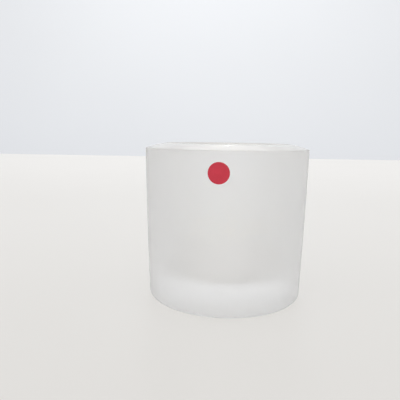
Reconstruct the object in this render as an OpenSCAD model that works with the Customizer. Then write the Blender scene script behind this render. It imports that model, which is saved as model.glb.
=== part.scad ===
/* [Holder] */
// Overall height of the glass holder
holder_h = 60.5; // [50:0.5:75]
// Outside diameter at the rim
rim_d = 64; // [60:0.5:80]
// Outside diameter at the foot, before its edge rounding
foot_d = 60.8; // [58:0.2:64]
// How far the middle of the side wall stands out beyond a straight taper
side_bow = 0.2; // [0:0.05:0.6]
// Mouth diameter of the cavity
mouth_d = 44; // [43:0.5:50]
// Diameter of the cavity near its floor
floor_d = 42.8; // [42:0.2:44]
// Thickness of the solid glass base
base_t = 10; // [6:0.5:18]
// Radius where the cavity wall meets its floor
cavity_fillet = 3.3; // [1.5:0.1:3.3]
// How far the rim's crest stands above its outer edge
rim_crown = 1.8; // [0.4:0.1:2.5]
// Radius of the rim's outer edge
rim_edge_r = 0.5; // [0.3:0.1:1.5]
// How far the rim's rounding reaches into the cavity
rim_inner_w = 2; // [1:0.1:4]
// How far the rim's rounding reaches down from the crest
rim_inner_h = 3.5; // [1:0.1:5]
// Radius of the edge under the foot
foot_r = 1.8; // [0.5:0.1:3]
// Diameter of the shallow hollow under the foot
recess_d = 42; // [30:1:50]
// Depth of the hollow under the foot
recess_depth = 0.5; // [0.2:0.1:1]

/* [Label] */
// Diameter of the round sticker
label_d = 7.4; // [4:0.2:12]
// Thickness of the sticker
label_t = 0.12; // [0.08:0.02:0.3]
// Height of the sticker's centre above the table
label_z = 51.2; // [20:0.2:52]

/* [Tealight] */
// Outside diameter of the tealight cup
cup_d = 38; // [36:0.5:39]
// Height of the tealight cup
cup_h = 16; // [14:0.5:20]
// Wall thickness of the cup
cup_t = 0.25; // [0.2:0.05:0.4]
// Radius of the cup's lower edge
cup_edge_r = 1.4; // [0.8:0.1:2]
// Radius of the rolled bead on the cup's rim
bead_r = 0.45; // [0.3:0.05:0.7]
// Height of the wax above the inside of the cup
wax_h = 12.5; // [8:0.5:13]
// Diameter of the wick
wick_d = 1.6; // [1:0.1:2.4]
// Length of wick that stands clear of the wax
wick_free = 7.5; // [4:0.5:12]
// Diameter of the steel disc that holds the wick upright
sustainer_d = 13; // [8:0.5:18]

/* [Hidden] */
$fn = 120;
wall_steps = 8;
arc_steps = 8;
edge_sweep = 70;
crown_curve = 1.35;
body_gap = 0.1;
overlap = 1;
sustainer_t = 0.3;
sustainer_collar_d = 3.4;
sustainer_collar_h = 4;
wax_rise_h = 0.6;
wax_rise_d = 9;
wax_rise_top_d = 2.8;
glass_colour = [0.86, 0.88, 0.88, 0.6];
label_colour = [0.78, 0.05, 0.12];
foil_colour = [0.80, 0.81, 0.83];
wax_colour = [0.95, 0.94, 0.90];
wick_colour = [0.93, 0.91, 0.85];
steel_colour = [0.60, 0.61, 0.63];

shoulder_z = holder_h - rim_crown;
wall_top_z = shoulder_z - rim_edge_r;
crest_r = mouth_d / 2 + rim_inner_w;
edge_end_r = rim_d / 2 - rim_edge_r * (1 - cos(edge_sweep));
edge_end_z = shoulder_z - rim_edge_r * (1 - sin(edge_sweep));
cup_z = base_t + body_gap;
wax_z = cup_z + cup_t;

// Radius of the outer wall at height z: a straight taper with a shallow bow
function wall_r(z) =
    foot_d / 2 + (rim_d - foot_d) / 2 * z / wall_top_z
    + side_bow * 4 * (z / wall_top_z) * (1 - z / wall_top_z);

// Points of an arc about [cx, cz] from angle a0 to a1, with radius rx across and rz up
function arc(cx, cz, rx, rz, a0, a1) = [
    for (i = [0:arc_steps])
        let (a = a0 + (a1 - a0) * i / arc_steps)
            [cx + rx * cos(a), cz + rz * sin(a)]
];

// Points first to last of the outer wall, counted up from the foot, standing out by extra
function wall(first, last, extra = 0) = [
    for (i = [first:last])
        let (z = foot_r + (wall_top_z - foot_r) * i / wall_steps)
            [wall_r(z) + extra, z]
];

// Points from the rim's rounded outer edge up to its crest, steepest at the edge
function crown() = [
    for (i = [1:arc_steps])
        let (u = 1 - i / arc_steps)
            [crest_r + (edge_end_r - crest_r) * u, edge_end_z + (holder_h - edge_end_z) * (1 - pow(u, crown_curve))]
];

// The same list from its end to its start
function reversed(points) = [for (i = [len(points) - 1:-1:0]) points[i]];

// Thick tapered glass, one turned solid: foot, side, crowned rim, cavity and the hollow underneath
module glass_holder() {
    color(glass_colour)
        rotate_extrude()
            polygon(concat(
                [[0, recess_depth], [recess_d / 2 - recess_depth, recess_depth], [recess_d / 2, 0]],
                arc(wall_r(foot_r) - foot_r, foot_r, foot_r, foot_r, -90, 0),
                wall(1, wall_steps - 1),
                arc(rim_d / 2 - rim_edge_r, wall_top_z, rim_edge_r, rim_edge_r, 0, edge_sweep),
                crown(),
                arc(crest_r, holder_h - rim_inner_h, rim_inner_w, rim_inner_h, 101.25, 180),
                arc(floor_d / 2 - cavity_fillet, base_t + cavity_fillet, cavity_fillet, cavity_fillet, 0, -90),
                [[0, base_t]]
            ));
}

// Plain round sticker, curved to the outer wall at the front
module label() {
    color(label_colour)
        intersection() {
            rotate_extrude()
                polygon(concat(wall(0, wall_steps, label_t), reversed(wall(0, wall_steps))));
            translate([0, 0, label_z])
                rotate([90, 0, 0])
                    cylinder(h = rim_d, d = label_d);
        }
}

// Drawn aluminium cup with a rounded lower edge and a rolled bead round the top
module tealight_cup() {
    r = cup_d / 2;
    inner_edge_r = cup_edge_r - cup_t;
    color(foil_colour)
        translate([0, 0, cup_z])
            rotate_extrude()
                union() {
                    polygon(concat(
                        [[0, 0]],
                        arc(r - cup_edge_r, cup_edge_r, cup_edge_r, cup_edge_r, -90, 0),
                        [[r, cup_h - bead_r], [r - cup_t, cup_h - bead_r]],
                        arc(r - cup_edge_r, cup_edge_r, inner_edge_r, inner_edge_r, 0, -90),
                        [[0, cup_t]]
                    ));
                    translate([r, cup_h - bead_r])
                        circle(r = bead_r);
                }
}

// Poured wax that fills the cup, with a low rise where it climbs the wick
module tealight_wax() {
    r = cup_d / 2 - cup_t;
    edge_r = cup_edge_r - cup_t;
    color(wax_colour)
        translate([0, 0, wax_z])
            difference() {
                rotate_extrude()
                    polygon(concat(
                        [[0, 0]],
                        arc(r - edge_r, edge_r, edge_r, edge_r, -90, 0),
                        [
                            [r, wax_h],
                            [wax_rise_d / 2, wax_h],
                            [wax_rise_top_d / 2, wax_h + wax_rise_h],
                            [0, wax_h + wax_rise_h]
                        ]
                    ));
                translate([0, 0, -overlap])
                    cylinder(h = wax_h + wax_rise_h + 2 * overlap, d = wick_d);
                translate([0, 0, -overlap])
                    cylinder(h = sustainer_t + overlap, d = sustainer_d);
                translate([0, 0, -overlap])
                    cylinder(h = sustainer_collar_h + overlap, d = sustainer_collar_d);
            }
}

// Cotton wick, standing in the sustainer's collar and up through the wax
module wick() {
    color(wick_colour)
        translate([0, 0, wax_z + sustainer_t])
            cylinder(h = wax_h - sustainer_t + wick_free, d = wick_d);
}

// Thin steel disc with a collar that grips the foot of the wick
module wick_sustainer() {
    color(steel_colour)
        translate([0, 0, wax_z])
            difference() {
                union() {
                    cylinder(h = sustainer_t, d = sustainer_d);
                    cylinder(h = sustainer_collar_h, d = sustainer_collar_d);
                }
                translate([0, 0, sustainer_t])
                    cylinder(h = sustainer_collar_h, d = wick_d);
            }
}

glass_holder();
label();
tealight_cup();
tealight_wax();
wick();
wick_sustainer();
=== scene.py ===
"""Tealight holder: thick frosted pressed glass with a round sticker, and a tealight that lifts out of it."""

import math

import bmesh
import bpy
from mathutils import Matrix, Vector, noise


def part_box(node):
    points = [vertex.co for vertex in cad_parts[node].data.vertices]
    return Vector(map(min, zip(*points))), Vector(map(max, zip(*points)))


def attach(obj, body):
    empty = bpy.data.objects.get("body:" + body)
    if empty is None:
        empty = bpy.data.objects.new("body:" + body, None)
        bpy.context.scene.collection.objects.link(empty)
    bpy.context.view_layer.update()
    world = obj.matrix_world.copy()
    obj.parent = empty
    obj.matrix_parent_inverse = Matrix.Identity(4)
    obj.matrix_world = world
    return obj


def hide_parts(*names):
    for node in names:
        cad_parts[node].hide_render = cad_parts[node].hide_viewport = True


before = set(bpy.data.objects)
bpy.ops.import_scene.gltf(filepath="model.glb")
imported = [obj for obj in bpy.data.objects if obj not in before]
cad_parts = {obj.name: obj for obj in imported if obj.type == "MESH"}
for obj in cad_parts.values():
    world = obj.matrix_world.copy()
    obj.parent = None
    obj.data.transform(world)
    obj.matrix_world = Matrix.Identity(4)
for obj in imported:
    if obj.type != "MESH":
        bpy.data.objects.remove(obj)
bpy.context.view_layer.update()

MM = 0.001
scene = bpy.context.scene


# ---------------------------------------------------------------------------
# Mesh helpers
# ---------------------------------------------------------------------------

ON_AXIS = 1e-7
SAME_POINT = 1e-6


def line(start, end, steps):
    """Points of a straight run in the (radius, height) plane, its ends included."""
    (r0, z0), (r1, z1) = start, end
    return [(r0 + (r1 - r0) * i / steps, z0 + (z1 - z0) * i / steps) for i in range(steps + 1)]


def arc(centre, radius, start, end, steps, height=None):
    """Points of an arc in the (radius, height) plane, from angle start to end in degrees.

    It is part of an ellipse where height gives a second radius, the one along Z.
    """
    points = []
    for i in range(steps + 1):
        angle = math.radians(start + (end - start) * i / steps)
        across = radius * math.cos(angle)
        up = (height or radius) * math.sin(angle)
        points.append((centre[0] + across, centre[1] + up))
    return points


def joined(*runs):
    """The (zone, points) runs one after another, as (radius, height, zone) points with none doubled."""
    profile = []
    for zone, points in runs:
        for r, z in points:
            if profile and math.hypot(profile[-1][0] - r, profile[-1][1] - z) < SAME_POINT:
                continue
            profile.append((r, z, zone))
    return profile


def new_piece(name, bm, materials):
    """An object made of the faces of bm, shaded smooth, with their normals outwards."""
    bmesh.ops.recalc_face_normals(bm, faces=bm.faces)
    for face in bm.faces:
        face.smooth = True
    mesh = bpy.data.meshes.new(name)
    bm.to_mesh(mesh)
    bm.free()
    for material in materials:
        mesh.materials.append(material)
    piece = bpy.data.objects.new(name, mesh)
    scene.collection.objects.link(piece)
    return piece


def lathe(name, profile, materials, segments, shape=None):
    """Turns the (radius, height, zone) points of a profile about Z.

    shape(r, z, angle, zone) may move a point that is off the axis, and returns its (r, z). A zone takes the
    material of the same number, or the last one.
    """
    bm = bmesh.new()
    rings = []
    for r, z, zone in profile:
        if r < ON_AXIS:
            rings.append([bm.verts.new((0, 0, z))])
            continue
        ring = []
        for i in range(segments):
            angle = 2 * math.pi * i / segments
            rr, zz = shape(r, z, angle, zone) if shape else (r, z)
            ring.append(bm.verts.new((rr * math.cos(angle), rr * math.sin(angle), zz)))
        rings.append(ring)
    for a, b, (_, _, zone) in zip(rings, rings[1:], profile[1:]):
        for i in range(segments):
            j = (i + 1) % segments
            if len(a) == 1:
                face = bm.faces.new((a[0], b[j], b[i]))
            elif len(b) == 1:
                face = bm.faces.new((a[i], a[j], b[0]))
            else:
                face = bm.faces.new((a[i], a[j], b[j], b[i]))
            face.material_index = min(zone, len(materials) - 1)
    return new_piece(name, bm, materials)


# ---------------------------------------------------------------------------
# Material helpers
# ---------------------------------------------------------------------------

# Most of a noise's values lie between these
NOISE_LOW = 0.3
NOISE_HIGH = 0.7


class Shader:
    """A Principled material with short calls for the nodes that feed it."""

    def __init__(self, name, **values):
        self.material = bpy.data.materials.new(name)
        self.material.use_nodes = True
        self.tree = self.material.node_tree
        self.bsdf = self.tree.nodes["Principled BSDF"]
        for key, value in values.items():
            socket = self.bsdf.inputs[key.replace("_", " ")]
            socket.default_value = (*value, 1) if socket.type == "RGBA" else value

    def node(self, kind, **inputs):
        n = self.tree.nodes.new(kind)
        for key, value in inputs.items():
            n.inputs[key.replace("_", " ")].default_value = value
        return n

    def link(self, out, into):
        self.tree.links.new(out, into)

    def feed(self, key, out):
        """Links a node's output to one of the shader's own sockets."""
        self.link(out, self.bsdf.inputs[key])

    def coords(self, scale=(1, 1, 1)):
        place = self.node("ShaderNodeTexCoord")
        mapping = self.node("ShaderNodeMapping", Scale=scale)
        self.link(place.outputs["Object"], mapping.inputs["Vector"])
        return mapping.outputs["Vector"]

    def noise(self, vector, scale, detail=3.0, rough=0.55, distortion=0.0):
        n = self.node(
            "ShaderNodeTexNoise",
            Scale=scale,
            Detail=detail,
            Roughness=rough,
            Distortion=distortion,
        )
        self.link(vector, n.inputs["Vector"])
        return n.outputs["Fac"]

    def ranged(self, pattern, low, high):
        """A number that goes from low to high as a noise goes from its low values to its high ones."""
        n = self.node("ShaderNodeMapRange", From_Min=NOISE_LOW, From_Max=NOISE_HIGH, To_Min=low, To_Max=high)
        self.link(pattern, n.inputs["Value"])
        return n.outputs["Result"]

    def tint(self, value, low, high, low_at=NOISE_LOW, high_at=NOISE_HIGH):
        """A colour that goes from low, where the value is low_at, to high, where it is high_at."""
        n = self.node("ShaderNodeValToRGB")
        first, last = n.color_ramp.elements
        first.position, last.position = low_at, high_at
        first.color, last.color = (*low, 1), (*high, 1)
        self.link(value, n.inputs["Fac"])
        return n.outputs["Color"]

    def bump(self, height, distance):
        n = self.node("ShaderNodeBump", Distance=distance, Strength=1.0)
        self.link(height, n.inputs["Height"])
        return n.outputs["Normal"]


# ---------------------------------------------------------------------------
# The glass holder
# ---------------------------------------------------------------------------

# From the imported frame
RIM_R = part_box("glass_holder")[1].x
HOLDER_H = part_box("glass_holder")[1].z

# As in the CAD
RIM_CROWN = 1.8 * MM
CROWN_CURVE = 1.35
RIM_EDGE_R = 0.5 * MM
RIM_EDGE_SWEEP = 70
RIM_INNER_W = 2.0 * MM
RIM_INNER_H = 3.5 * MM
FOOT_R = 30.4 * MM
FOOT_EDGE_R = 1.8 * MM
SIDE_BOW = 0.2 * MM
RECESS_R = 21.0 * MM
RECESS_DEPTH = 0.5 * MM
MOUTH_R = 22.0 * MM
FLOOR_R = 21.4 * MM
BASE_T = 10.0 * MM
CAVITY_FILLET = 3.3 * MM

# Where one stretch of the profile meets the next
SHOULDER_Z = HOLDER_H - RIM_CROWN
WALL_TOP_Z = SHOULDER_Z - RIM_EDGE_R
CREST_R = MOUTH_R + RIM_INNER_W
CAVITY_TOP_Z = HOLDER_H - RIM_INNER_H
CAVITY_FOOT_Z = BASE_T + CAVITY_FILLET
FLOOR_FLAT_R = FLOOR_R - CAVITY_FILLET
RECESS_FLAT_R = RECESS_R - RECESS_DEPTH

# The zones of its profile
OUTER, RIM, INNER, UNDER = 0, 1, 2, 3

GLASS_SEGMENTS = 256
GLASS_SHARP = math.radians(35)


def satin_glass(name, face, roughness, grain, edge=None, transmission=1.0, **coat):
    """Acid-etched glass: a fine even grain, with faint clouding where the etch bit a little more or less.

    face is what it lets through head-on. edge, where given, is a darker tint towards grazing angles: painted
    shade on the silhouettes. roughness is the lowest and the highest in the clouding.
    """
    s = Shader(name, Base_Color=face, IOR=1.5, Transmission_Weight=transmission, **coat)
    v = s.coords()
    cloud = s.noise(v, scale=90, detail=4.0, rough=0.6, distortion=0.4)
    s.feed("Roughness", s.ranged(cloud, *roughness))
    if edge:
        # Darker towards grazing angles: painted shade on the silhouettes
        angle = s.node("ShaderNodeLayerWeight", Blend=0.5)
        s.feed("Base Color", s.tint(angle.outputs["Facing"], face, edge, low_at=0.0, high_at=1.0))
    fine = s.noise(v, scale=5200, detail=2.0, rough=0.7)
    s.feed("Normal", s.bump(fine, grain))
    return s.material


def holder_glass():
    """The glass of each zone, in the zones' order."""
    clear = (0.99, 0.992, 0.994)
    # Its edge tint is painted shade that darkens the silhouettes
    outer = satin_glass(
        "glass_outer",
        face=clear,
        edge=(0.71, 0.708, 0.702),
        roughness=(0.55, 0.63),
        grain=0.004 * MM,
    )
    # A little milky under a fire-polished skin
    rim = satin_glass(
        "glass_rim",
        face=(0.985, 0.986, 0.985),
        edge=(0.985, 0.985, 0.983),
        roughness=(0.34, 0.4),
        grain=0.0005 * MM,
        transmission=0.87,
        Coat_Weight=0.4,
        Coat_Roughness=0.03,
    )
    # Tinted grey, with a darker edge tint: painted shade that darkens the body, the silhouettes and the far
    # side of the mouth
    inner = satin_glass(
        "glass_inner",
        face=(0.898, 0.893, 0.883),
        edge=(0.8, 0.796, 0.786),
        roughness=(0.55, 0.63),
        grain=0.002 * MM,
    )
    under = satin_glass("glass_under", face=clear, roughness=(0.5, 0.56), grain=0.001 * MM)
    return [outer, rim, inner, under]


def wall_r(z):
    """Radius of the outer wall at height z: a straight taper with a shallow bow."""
    t = z / WALL_TOP_Z
    return FOOT_R + (RIM_R - FOOT_R) * t + SIDE_BOW * 4 * t * (1 - t)


def side(steps):
    """Points of the outer wall from the foot's rounded edge up to the rim's."""
    return [(wall_r(z), z) for _, z in line((0, FOOT_EDGE_R), (0, WALL_TOP_Z), steps)]


def crown(steps):
    """Points from the end of the rim's rounded outer edge up to its crest, steepest at the edge."""
    sweep = math.radians(RIM_EDGE_SWEEP)
    edge_r = RIM_R - RIM_EDGE_R * (1 - math.cos(sweep))
    edge_z = SHOULDER_Z - RIM_EDGE_R * (1 - math.sin(sweep))
    points = []
    for i in range(steps + 1):
        u = 1 - i / steps
        points.append((CREST_R + (edge_r - CREST_R) * u, edge_z + (HOLDER_H - edge_z) * (1 - u**CROWN_CURVE)))
    return points


glass_profile = joined(
    (UNDER, line((0, RECESS_DEPTH), (RECESS_FLAT_R, RECESS_DEPTH), steps=8)),
    (UNDER, line((RECESS_FLAT_R, RECESS_DEPTH), (RECESS_R, 0), steps=2)),
    (OUTER, arc((wall_r(FOOT_EDGE_R) - FOOT_EDGE_R, FOOT_EDGE_R), FOOT_EDGE_R, -90, 0, steps=16)),
    (OUTER, side(steps=32)),
    (OUTER, arc((RIM_R - RIM_EDGE_R, WALL_TOP_Z), RIM_EDGE_R, 0, RIM_EDGE_SWEEP, steps=10)),
    (RIM, crown(steps=28)),
    # The rim's inner rounding takes the grey inner glass: painted shade on the far side of the mouth
    (INNER, arc((CREST_R, CAVITY_TOP_Z), RIM_INNER_W, 90, 180, steps=18, height=RIM_INNER_H)),
    (INNER, line((MOUTH_R, CAVITY_TOP_Z), (FLOOR_R, CAVITY_FOOT_Z), steps=24)),
    (INNER, arc((FLOOR_FLAT_R, CAVITY_FOOT_Z), CAVITY_FILLET, 0, -90, steps=16)),
    (INNER, line((FLOOR_FLAT_R, BASE_T), (0, BASE_T), steps=8)),
)
holder = lathe("holder_glass", glass_profile, holder_glass(), GLASS_SEGMENTS)
holder.data.set_sharp_from_angle(angle=GLASS_SHARP)
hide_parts("glass_holder")
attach(holder, "holder")


# ---------------------------------------------------------------------------
# The sticker: a thin film laid on the curve of the wall, with a rounded edge
# ---------------------------------------------------------------------------

label_lo, label_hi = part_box("label")
LABEL_Z = (label_lo.z + label_hi.z) / 2
LABEL_R = (label_hi.x - label_lo.x) / 2
LABEL_T = 0.12 * MM
# The back stays this far off the glass
LABEL_GAP = 0.002 * MM
# The face rounds off over this width, down to this share of the film's thickness
LABEL_EDGE_W = 0.05 * MM
LABEL_EDGE_T = 0.35
LABEL_RINGS = 14
LABEL_SEGMENTS = 96
LABEL_SHARP = math.radians(50)


def sticker_material():
    """Satin film, its colour laid down a little unevenly."""
    s = Shader("sticker_film")
    v = s.coords()
    blotch = s.noise(v, scale=420, rough=0.6)
    s.feed("Base Color", s.tint(blotch, (0.54, 0.018, 0.042), (0.60, 0.024, 0.052)))
    s.feed("Roughness", s.ranged(s.noise(v, scale=1500, detail=2.0), 0.36, 0.5))
    s.feed("Normal", s.bump(s.noise(v, scale=6000, detail=2.0), 0.006 * MM))
    return s.material


def on_wall(rho, angle, lift):
    """The place at rho and angle round the sticker's centre, wrapped on to the wall and lifted off it."""
    z = LABEL_Z + rho * math.sin(angle)
    r = wall_r(z) + lift
    turn = rho * math.cos(angle) / wall_r(z)
    return (r * math.sin(turn), -r * math.cos(turn), z)


def film_t(rho):
    """Height of the film's face above the glass: flat, rounding off at its edge."""
    inside = LABEL_R - rho
    if inside >= LABEL_EDGE_W:
        return LABEL_T
    t = inside / LABEL_EDGE_W
    return LABEL_T * (LABEL_EDGE_T + (1 - LABEL_EDGE_T) * math.sqrt(t * (2 - t)))


def sticker():
    bm = bmesh.new()
    angles = [2 * math.pi * i / LABEL_SEGMENTS for i in range(LABEL_SEGMENTS)]
    radii = [LABEL_R * (i / LABEL_RINGS) for i in range(1, LABEL_RINGS)]
    radii += [LABEL_R - LABEL_EDGE_W * share for share in (1.0, 0.6, 0.3, 0.1, 0.0)]
    levels = [(rho, film_t(rho)) for rho in radii] + [(LABEL_R, LABEL_GAP)]
    middle = bm.verts.new(on_wall(0, 0, LABEL_T))
    rings = [[bm.verts.new(on_wall(rho, angle, lift)) for angle in angles] for rho, lift in levels]
    back = bm.verts.new(on_wall(0, 0, LABEL_GAP))
    for i in range(LABEL_SEGMENTS):
        j = (i + 1) % LABEL_SEGMENTS
        bm.faces.new((middle, rings[0][i], rings[0][j]))
        for a, b in zip(rings, rings[1:]):
            bm.faces.new((a[i], b[i], b[j], a[j]))
        bm.faces.new((rings[-1][i], back, rings[-1][j]))
    return new_piece("sticker_dot", bm, [sticker_material()])


dot = sticker()
dot.data.set_sharp_from_angle(angle=LABEL_SHARP)
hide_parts("label")
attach(dot, "holder")


# ---------------------------------------------------------------------------
# The tealight's cup
# ---------------------------------------------------------------------------

# The zone of a profile that has only one
PLAIN = 0
METAL_SHARP = math.radians(40)

cup_lo, cup_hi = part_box("tealight_cup")
CUP_Z = cup_lo.z
CUP_TOP = cup_hi.z
BEAD_R = 0.45 * MM
CUP_R = cup_hi.x - BEAD_R
CUP_EDGE_R = 1.4 * MM
CUP_BASE_R = CUP_R - CUP_EDGE_R
# Nearer to real foil than the CAD's wall is
CUP_T = 0.2 * MM
# Where the bead is tucked against the inside of the wall
BEAD_TUCK_R = CUP_R - CUP_T - 0.02 * MM
BEAD_TUCK_Z = CUP_TOP - 1.6 * BEAD_R
CUP_SEGMENTS = 384

# The pleats start at the foot and die out towards the bead, at these shares of the cup's height
PLEATS = 48
PLEAT_DEPTH = 0.07 * MM
PLEAT_FULL_FROM = 0.12
PLEAT_FULL_TO = 0.52
PLEAT_END = 0.82
DENT_DEPTH = 0.03 * MM

# A raised disc in the middle of the base, and low ring-shaped waves across it
BOSS_R = 4.0 * MM
BOSS_FOOT_R = 4.6 * MM
BOSS_H = 0.1 * MM
WAVES_R = CUP_BASE_R - 1.0 * MM
WAVES_H = 0.06 * MM


def foil_material():
    """Drawn aluminium foil, with fine streaks up the wall."""
    s = Shader("cup_foil", Metallic=1.0)
    streak = s.noise(s.coords((1, 1, 0.04)), scale=2600, rough=0.6)
    s.feed("Roughness", s.ranged(streak, 0.38, 0.55))
    tone = s.noise(s.coords(), scale=160, detail=2.0)
    s.feed("Base Color", s.tint(tone, (0.94, 0.94, 0.942), (0.97, 0.97, 0.972)))
    s.feed("Normal", s.bump(streak, 0.01 * MM))
    return s.material


def cup_shape(r, z, angle, zone):
    """Waves in the base, pressed pleats in the lower wall and a slight unevenness."""
    if r < WAVES_R:
        return r, z + WAVES_H * (1 + math.cos(4 * math.pi * r / CUP_R)) / 2
    height = (z - CUP_Z) / (CUP_TOP - CUP_Z)
    fade_in = min(1.0, height / PLEAT_FULL_FROM)
    fade_out = min(1.0, max(0.0, (PLEAT_END - height) / (PLEAT_END - PLEAT_FULL_TO)))
    pleat = PLEAT_DEPTH * (1 + math.cos(PLEATS * angle)) / 2
    dent = DENT_DEPTH * noise.noise(Vector((3 * math.cos(angle), 3 * math.sin(angle), 2 * height)))
    return r - (pleat + dent) * fade_in * fade_out, z


cup_profile = joined(
    (PLAIN, line((0, CUP_Z + BOSS_H), (BOSS_R, CUP_Z + BOSS_H), steps=3)),
    (PLAIN, line((BOSS_R, CUP_Z + BOSS_H), (BOSS_FOOT_R, CUP_Z), steps=2)),
    (PLAIN, line((BOSS_FOOT_R, CUP_Z), (CUP_BASE_R, CUP_Z), steps=10)),
    (PLAIN, arc((CUP_BASE_R, CUP_Z + CUP_EDGE_R), CUP_EDGE_R, -90, 0, steps=10)),
    (PLAIN, line((CUP_R, CUP_Z + CUP_EDGE_R), (CUP_R, CUP_TOP - 2 * BEAD_R), steps=22)),
    (PLAIN, arc((CUP_R, CUP_TOP - BEAD_R), BEAD_R, -90, 180, steps=18)),
    (PLAIN, line((BEAD_TUCK_R, BEAD_TUCK_Z), (CUP_R - CUP_T, CUP_Z + CUP_EDGE_R), steps=22)),
    (PLAIN, arc((CUP_BASE_R, CUP_Z + CUP_EDGE_R), CUP_EDGE_R - CUP_T, 0, -90, steps=10)),
    (PLAIN, line((CUP_BASE_R, CUP_Z + CUP_T), (0, CUP_Z + CUP_T), steps=6)),
)
cup = lathe("cup_foil_shell", cup_profile, [foil_material()], CUP_SEGMENTS, cup_shape)
cup.data.set_sharp_from_angle(angle=METAL_SHARP)
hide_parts("tealight_cup")
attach(cup, "tealight")


# ---------------------------------------------------------------------------
# The wax
# ---------------------------------------------------------------------------

WAX_BODY, WAX_FACE = 0, 1

wax_lo, wax_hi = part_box("tealight_wax")
wick_lo, wick_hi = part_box("wick")
WICK_R = wick_hi.x
WAX_RISE = 0.6 * MM
WAX_TOP = wax_hi.z - WAX_RISE
# Just above the waves in the cup's base
WAX_Z = wax_lo.z + 0.03 * MM
# Clear of the pleats
WAX_R = CUP_R - CUP_T - 0.12 * MM
WAX_BASE_R = CUP_BASE_R - 0.1 * MM
WAX_EDGE_R = CUP_EDGE_R - CUP_T
WAX_SIDE_TOP = WAX_TOP - 0.3 * MM
WAX_SEGMENTS = 192

# How high its face climbs the cup, the widths over which it climbs cup and wick, and how far it sinks between
CUP_CLIMB = 0.35 * MM
CUP_CLIMB_W = 0.7 * MM
WICK_CLIMB_W = 1.3 * MM
SINK = 0.22 * MM


def wax_material():
    """Poured paraffin: light goes a little way into it, and its face is faintly mottled and pitted."""
    s = Shader(
        "paraffin",
        Subsurface_Weight=0.55,
        Subsurface_Radius=(0.004, 0.0035, 0.003),
        Subsurface_Scale=1.0,
        IOR=1.44,
    )
    v = s.coords()
    mottle = s.noise(v, scale=240, detail=4.0, rough=0.6, distortion=0.6)
    s.feed("Base Color", s.tint(mottle, (0.77, 0.755, 0.715), (0.82, 0.81, 0.775)))
    s.feed("Roughness", s.ranged(s.noise(v, scale=500), 0.36, 0.55))
    s.feed("Normal", s.bump(s.noise(v, scale=1400, rough=0.65), 0.03 * MM))
    return s.material


def wax_shape(r, z, angle, zone):
    """The face climbs the cup and the wick a little, sinks where it cooled last, and isn't quite even."""
    if zone != WAX_FACE:
        return r, z
    at_cup = CUP_CLIMB * math.exp(-(WAX_R - r) / CUP_CLIMB_W)
    at_wick = WAX_RISE * math.exp(-max(0.0, r - WICK_R) / WICK_CLIMB_W)
    sink = SINK * math.sin(math.pi * min(1.0, r / WAX_R)) ** 2
    p = Vector((r * math.cos(angle), r * math.sin(angle), 0)) / MM
    broad = 0.1 * MM * noise.noise(p * 0.16)
    fine = 0.035 * MM * noise.noise(p * 0.6 + Vector((7, 3, 1)))
    return r, WAX_TOP + at_cup + at_wick - sink + broad + fine


wax_profile = joined(
    (WAX_BODY, line((0, WAX_Z), (WAX_BASE_R, WAX_Z), steps=8)),
    (WAX_BODY, arc((WAX_BASE_R, WAX_Z + WAX_EDGE_R), WAX_EDGE_R, -90, 0, steps=8)),
    (WAX_BODY, line((WAX_R, WAX_Z + WAX_EDGE_R), (WAX_R, WAX_SIDE_TOP), steps=8)),
    (WAX_FACE, line((WAX_R, WAX_TOP), (0.9 * WICK_R, WAX_TOP), steps=60)),
    (WAX_FACE, [(0, WAX_TOP + WAX_RISE)]),
)
wax = lathe("wax_fill", wax_profile, [wax_material()], WAX_SEGMENTS, wax_shape)
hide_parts("tealight_wax")
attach(wax, "tealight")


# ---------------------------------------------------------------------------
# The wick
# ---------------------------------------------------------------------------

WICK_FOOT = wick_lo.z
WICK_TIP_R = 0.35 * MM
WICK_TIP_H = 0.33 * MM
WICK_TIP_Z = wick_hi.z - WICK_TIP_R
WICK_SEGMENTS = 64

# Strands in each family, and the height from one of them to the next
BRAID_STRANDS = 4
BRAID_STEP = 1.3 * MM
# Shares of the wick's radius
BRAID_CORE = 0.9
BRAID_RELIEF = 0.075
BRAID_FUZZ = 0.025


def cotton_material():
    """Waxed cotton, its fibres drawn out along the wick."""
    s = Shader("waxed_cotton", Sheen_Weight=0.25)
    fibre = s.noise(s.coords((1, 1, 0.35)), scale=9000, rough=0.65)
    s.feed("Base Color", s.tint(fibre, (0.80, 0.76, 0.67), (0.94, 0.92, 0.86)))
    s.feed("Normal", s.bump(fibre, 0.04 * MM))
    s.feed("Roughness", s.ranged(fibre, 0.6, 0.85))
    return s.material


def wick_shape(r, z, angle, zone):
    """Braid: two families of strands that wind against each other, the higher one showing."""
    twist = 2 * math.pi * z / BRAID_STEP
    left = math.cos(BRAID_STRANDS * angle + twist)
    right = math.cos(BRAID_STRANDS * angle - twist)
    fuzz = noise.noise(Vector((2.4 * math.cos(angle), 2.4 * math.sin(angle), 5 * z / MM)))
    return r * (BRAID_CORE + BRAID_RELIEF * max(left, right) + BRAID_FUZZ * fuzz), z


wick_profile = joined(
    (PLAIN, line((0, WICK_FOOT), (WICK_R, WICK_FOOT), steps=3)),
    (PLAIN, line((WICK_R, WICK_FOOT), (WICK_R, WICK_TIP_Z), steps=220)),
    (PLAIN, arc((WICK_R - WICK_TIP_R, WICK_TIP_Z), WICK_TIP_R, 0, 90, steps=6, height=WICK_TIP_H)),
    (PLAIN, line((WICK_R - WICK_TIP_R, WICK_TIP_Z + WICK_TIP_H), (0, WICK_TIP_Z + WICK_TIP_H), steps=3)),
)
wick = lathe("wick_braid", wick_profile, [cotton_material()], WICK_SEGMENTS, wick_shape)
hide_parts("wick")
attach(wick, "tealight")


# ---------------------------------------------------------------------------
# The disc that holds the wick, with a stiffening ring and a crimped collar
# ---------------------------------------------------------------------------

DISC, COLLAR = 0, 1

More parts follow.
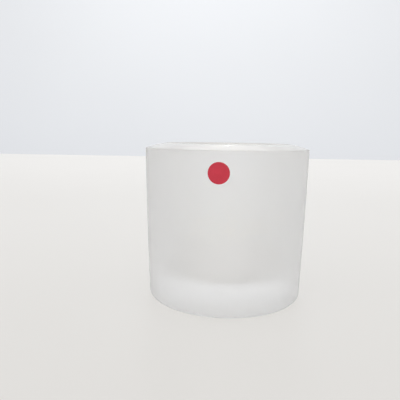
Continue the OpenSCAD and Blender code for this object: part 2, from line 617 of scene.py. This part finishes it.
disc_lo, disc_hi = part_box("wick_sustainer")
DISC_R = disc_hi.x
DISC_Z = disc_lo.z
DISC_TOP = DISC_Z + 0.3 * MM
DISC_EDGE_R = 0.12 * MM
DISC_FLAT_R = DISC_R - DISC_EDGE_R
DISC_FLAT_Z = DISC_Z + 2 * DISC_EDGE_R
DISC_SEGMENTS = 96

RING_R = 4.0 * MM
RING_HALF_W = 0.4 * MM
RING_H = 0.25 * MM
RING_Z = DISC_Z + 0.2 * MM

COLLAR_R = 1.7 * MM
COLLAR_TOP = disc_hi.z
COLLAR_BORE = WICK_R + 0.03 * MM
COLLAR_FLARE_W = 0.2 * MM
COLLAR_FLARE_H = 0.25 * MM
LIP_Z = COLLAR_TOP - 0.1 * MM
LIP_OUTER_R = COLLAR_R - 0.08 * MM
LIP_INNER_R = COLLAR_BORE + 0.06 * MM
CRIMPS = 4
CRIMP_DEPTH = 0.22 * MM


def steel_material():
    """Tinned steel with a fine even grain."""
    s = Shader("tinned_steel", Metallic=1.0)
    grain = s.noise(s.coords(), scale=1800, rough=0.6)
    s.feed("Roughness", s.ranged(grain, 0.28, 0.48))
    s.feed("Base Color", s.tint(grain, (0.55, 0.56, 0.58), (0.66, 0.67, 0.69)))
    s.feed("Normal", s.bump(grain, 0.01 * MM))
    return s.material


def disc_shape(r, z, angle, zone):
    """The collar is crimped on to the wick from four sides."""
    if zone == COLLAR:
        r -= CRIMP_DEPTH * max(0.0, math.cos(CRIMPS * angle)) ** 2
    return r, z


disc_profile = joined(
    (DISC, line((0, DISC_Z), (DISC_FLAT_R, DISC_Z), steps=8)),
    (DISC, arc((DISC_FLAT_R, DISC_Z + DISC_EDGE_R), DISC_EDGE_R, -90, 90, steps=8)),
    (DISC, line((DISC_FLAT_R, DISC_FLAT_Z), (RING_R + RING_HALF_W, DISC_FLAT_Z), steps=3)),
    (DISC, arc((RING_R, RING_Z), RING_HALF_W, 0, 180, steps=8, height=RING_H)),
    (DISC, line((RING_R - RING_HALF_W, DISC_TOP), (COLLAR_R + COLLAR_FLARE_W, DISC_TOP), steps=3)),
    (COLLAR, line((COLLAR_R, DISC_TOP + COLLAR_FLARE_H), (COLLAR_R, LIP_Z), steps=8)),
    (COLLAR, line((LIP_OUTER_R, COLLAR_TOP), (LIP_INNER_R, COLLAR_TOP), steps=2)),
    (DISC, line((COLLAR_BORE, LIP_Z), (COLLAR_BORE, DISC_TOP), steps=4)),
    (DISC, line((COLLAR_BORE, DISC_TOP), (0, DISC_TOP), steps=2)),
)
disc = lathe("sustainer_disc", disc_profile, [steel_material()], DISC_SEGMENTS, disc_shape)
disc.data.set_sharp_from_angle(angle=METAL_SHARP)
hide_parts("wick_sustainer")
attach(disc, "tealight")


# ---------------------------------------------------------------------------
# Stage: a pale table that ends in front of a pale wall. Sizes are in metres
# ---------------------------------------------------------------------------

# How far round from the sticker the camera stands. The table's far edge and the wall turn with it
CAMERA_TURN = math.radians(4.4)

TABLE_REACH = 3
TABLE_BACK = 1.15
# A hair under the foot: a shared plane would trap the light that passes between glass and table
TABLE_GAP = 0.1 * MM

WALL_REACH = 5
WALL_BACK = 1.5
WALL_LOW = -1
WALL_TOP = 0.7


def plane(name, corners, material):
    mesh = bpy.data.meshes.new(name)
    mesh.from_pydata(corners, [], [(0, 1, 2, 3)])
    mesh.materials.append(material)
    piece = bpy.data.objects.new(name, mesh)
    scene.collection.objects.link(piece)
    return piece


def stage_material(name, low, high, scale, glow, roughness, specular):
    """A pale matt surface with faint broad clouds. A little light of its own makes up for the shadows."""
    s = Shader(
        name,
        Roughness=roughness,
        Specular_IOR_Level=specular,
        Emission_Color=(1.0, 0.987, 0.962),
        Emission_Strength=glow,
    )
    s.feed("Base Color", s.tint(s.noise(s.coords(), scale), low, high))
    return s.material


table_white = stage_material(
    "table_white",
    low=(0.245, 0.236, 0.223),
    high=(0.255, 0.246, 0.233),
    scale=6,
    glow=0.45,
    roughness=0.4,
    specular=0.5,
)
table = plane(
    "table_top",
    [
        (-TABLE_REACH, -TABLE_REACH, 0),
        (TABLE_REACH, -TABLE_REACH, 0),
        (TABLE_REACH, TABLE_BACK, 0),
        (-TABLE_REACH, TABLE_BACK, 0),
    ],
    table_white,
)
wall_white = stage_material(
    "wall_white",
    low=(0.60, 0.62, 0.65),
    high=(0.615, 0.635, 0.665),
    scale=1.5,
    glow=0.17,
    roughness=0.9,
    specular=0.0,
)
wall = plane(
    "back_wall",
    [
        (-WALL_REACH, WALL_BACK, WALL_LOW),
        (WALL_REACH, WALL_BACK, WALL_LOW),
        (WALL_REACH, WALL_BACK, WALL_TOP),
        (-WALL_REACH, WALL_BACK, WALL_TOP),
    ],
    wall_white,
)
stage_turn = Matrix.Rotation(CAMERA_TURN, 4, "Z")
table.matrix_world = stage_turn @ Matrix.Translation((0, 0, -TABLE_GAP))
wall.matrix_world = stage_turn


# ---------------------------------------------------------------------------
# Light: a soft dome all round, and four disc lamps
# ---------------------------------------------------------------------------

# Colour of the dome against the sine of the elevation: dim near the horizon, nearly even from 19 degrees up
DOME = (
    (0.0, (0.62, 0.62, 0.63)),
    (0.32, (0.88, 0.88, 0.885)),
    (1.0, (0.95, 0.95, 0.95)),
)
# Strength of the dome: the camera's side is a little brighter than the wall's
FRONT_LEVEL = 1.23
BACK_LEVEL = 0.77


def dome_world():
    world = bpy.data.worlds.new("studio")
    world.use_nodes = True
    nodes = world.node_tree.nodes
    links = world.node_tree.links
    background = nodes["Background"]
    direction = nodes.new("ShaderNodeTexCoord")
    axes = nodes.new("ShaderNodeSeparateXYZ")
    ramp = nodes.new("ShaderNodeValToRGB")
    links.new(direction.outputs["Generated"], axes.inputs[0])
    links.new(axes.outputs["Z"], ramp.inputs["Fac"])
    links.new(ramp.outputs["Color"], background.inputs["Color"])
    ramp.color_ramp.elements.new(0.5)
    for element, (position, colour) in zip(ramp.color_ramp.elements, DOME):
        element.position = position
        element.color = (*colour, 1)
    level = nodes.new("ShaderNodeMapRange")
    level.inputs["From Min"].default_value = -1.0
    level.inputs["From Max"].default_value = 1.0
    level.inputs["To Min"].default_value = FRONT_LEVEL
    level.inputs["To Max"].default_value = BACK_LEVEL
    links.new(axes.outputs["Y"], level.inputs["Value"])
    links.new(level.outputs["Result"], background.inputs["Strength"])
    return world


def area_light(name, location, size, power, target=(0, 0, 0.03), spread=180):
    """A round lamp that faces its target, which is the holder where none is given."""
    light = bpy.data.lights.new(name, "AREA")
    light.shape = "DISK"
    light.size = size
    light.energy = power
    light.spread = math.radians(spread)
    lamp = bpy.data.objects.new(name, light)
    scene.collection.objects.link(lamp)
    lamp.location = location
    aim = Vector(target) - Vector(location)
    lamp.rotation_euler = aim.to_track_quat("-Z", "Y").to_euler()


scene.world = dome_world()
area_light("top_softbox", location=(0.05, -0.3, 1.5), size=1.2, power=3)
area_light("rim_light", location=(-0.08, 1.0, 0.85), size=0.6, power=0.6)
# The small bright spot on the far side of the rim
area_light("rim_spark", location=(-0.08, 1.1, 0.6), size=0.015, power=0.07)
area_light(
    "wall_wash",
    location=(-0.14, 0.5, 1.2),
    size=1.0,
    power=4.2,
    target=(-0.14, 1.5, 0.75),
    spread=150,
)

# Frosted glass sends light on many times before it comes out again
scene.cycles.max_bounces = 24
scene.cycles.transmission_bounces = 24
scene.cycles.glossy_bounces = 12
scene.cycles.diffuse_bounces = 8
scene.cycles.blur_glossy = 0
scene.cycles.min_light_bounces = 6
scene.cycles.light_sampling_threshold = 0

scene.view_settings.view_transform = "Standard"
scene.view_settings.look = "None"
scene.view_settings.exposure = 0
scene.view_settings.gamma = 1


# ---------------------------------------------------------------------------
# Camera
# ---------------------------------------------------------------------------

# Lens and sensor in millimetres, distance and height in metres
LENS = 38.844
SENSOR = 36
PITCH = math.radians(8.43)
ROLL = math.radians(0.79)
# It looks a little to the left of the holder
YAW = math.radians(-3.43) - CAMERA_TURN
DISTANCE = 0.1733
HEIGHT = 0.0632

forward = Vector((math.sin(YAW) * math.cos(PITCH), math.cos(YAW) * math.cos(PITCH), -math.sin(PITCH)))
level = Vector((math.cos(YAW), -math.sin(YAW), 0))
upright = level.cross(forward)
right = math.cos(ROLL) * level + math.sin(ROLL) * upright
up = math.cos(ROLL) * upright - math.sin(ROLL) * level
eye = Vector((DISTANCE * math.sin(CAMERA_TURN), -DISTANCE * math.cos(CAMERA_TURN), HEIGHT))

camera_data = bpy.data.cameras.new("camera")
camera_data.sensor_width = SENSOR
camera_data.lens = LENS
camera_data.clip_start = 0.01
camera_data.clip_end = 50
camera = bpy.data.objects.new("camera", camera_data)
scene.collection.objects.link(camera)
camera.matrix_world = Matrix(
    (
        (right.x, up.x, -forward.x, eye.x),
        (right.y, up.y, -forward.y, eye.y),
        (right.z, up.z, -forward.z, eye.z),
        (0, 0, 0, 1),
    )
)
bpy.context.scene.camera = camera
